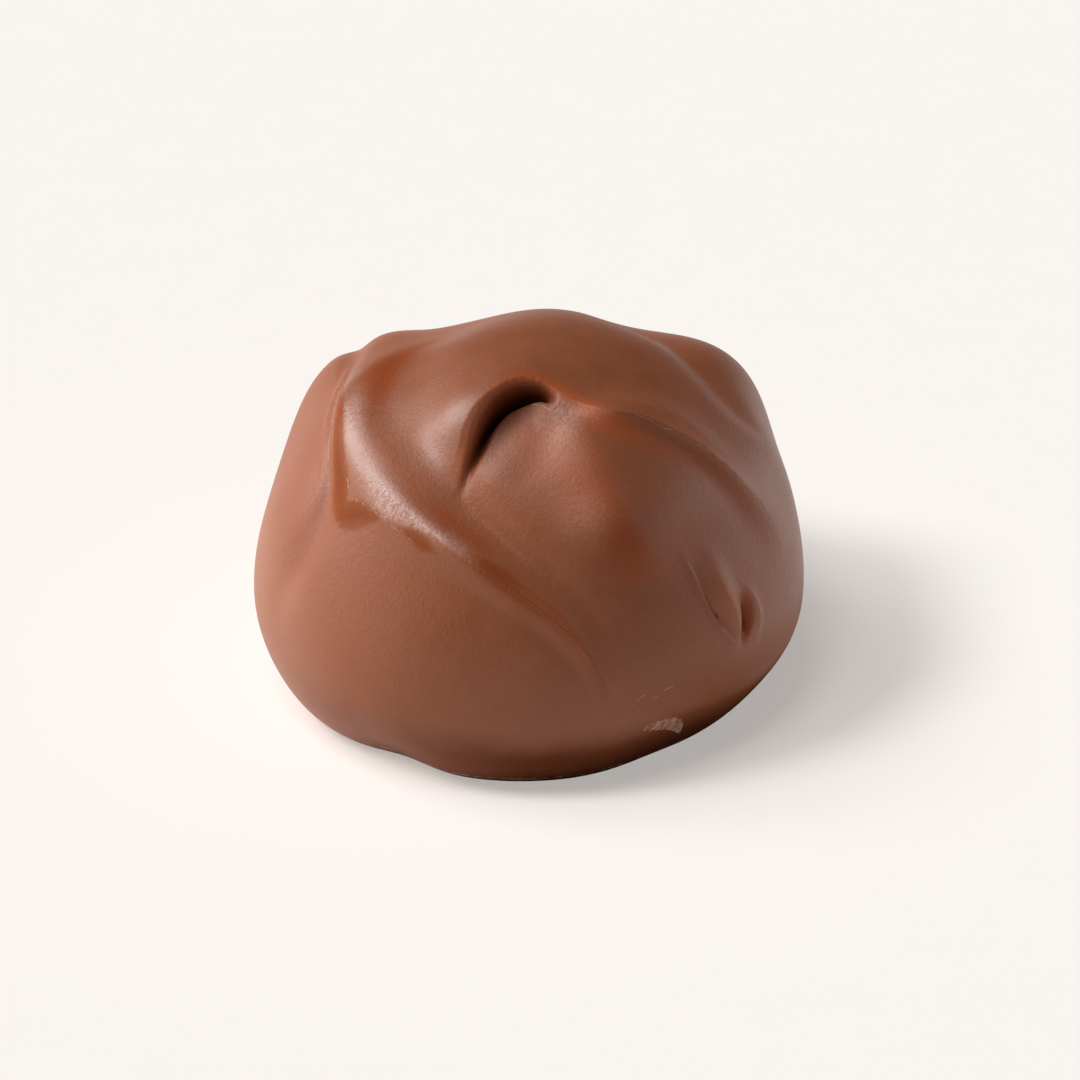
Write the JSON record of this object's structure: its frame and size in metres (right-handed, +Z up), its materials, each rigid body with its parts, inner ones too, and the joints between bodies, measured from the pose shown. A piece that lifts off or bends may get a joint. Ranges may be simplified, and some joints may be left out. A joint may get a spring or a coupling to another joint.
{
  "type": "milk chocolate truffle",
  "caption": "Hand-dipped milk chocolate truffle: a low round dome with a flat foot, a pulled collar, a hooked fold with a dark slot under it, and soft ridges and creases.",
  "frame": {"origin": "centre of the bounding box on the underside, so the foot stands on z = 0", "axes": "+Z up, -Y towards the side that the picture shows, +X to that view's right"},
  "size_m": [0.0342, 0.0346, 0.0231],
  "materials": {
    "milk_chocolate": "satin milk chocolate with a fine grain and a few small scuffs"
  },
  "bodies": {
    "root": {"chocolate_truffle": "milk_chocolate"}
  },
  "joints": []
}
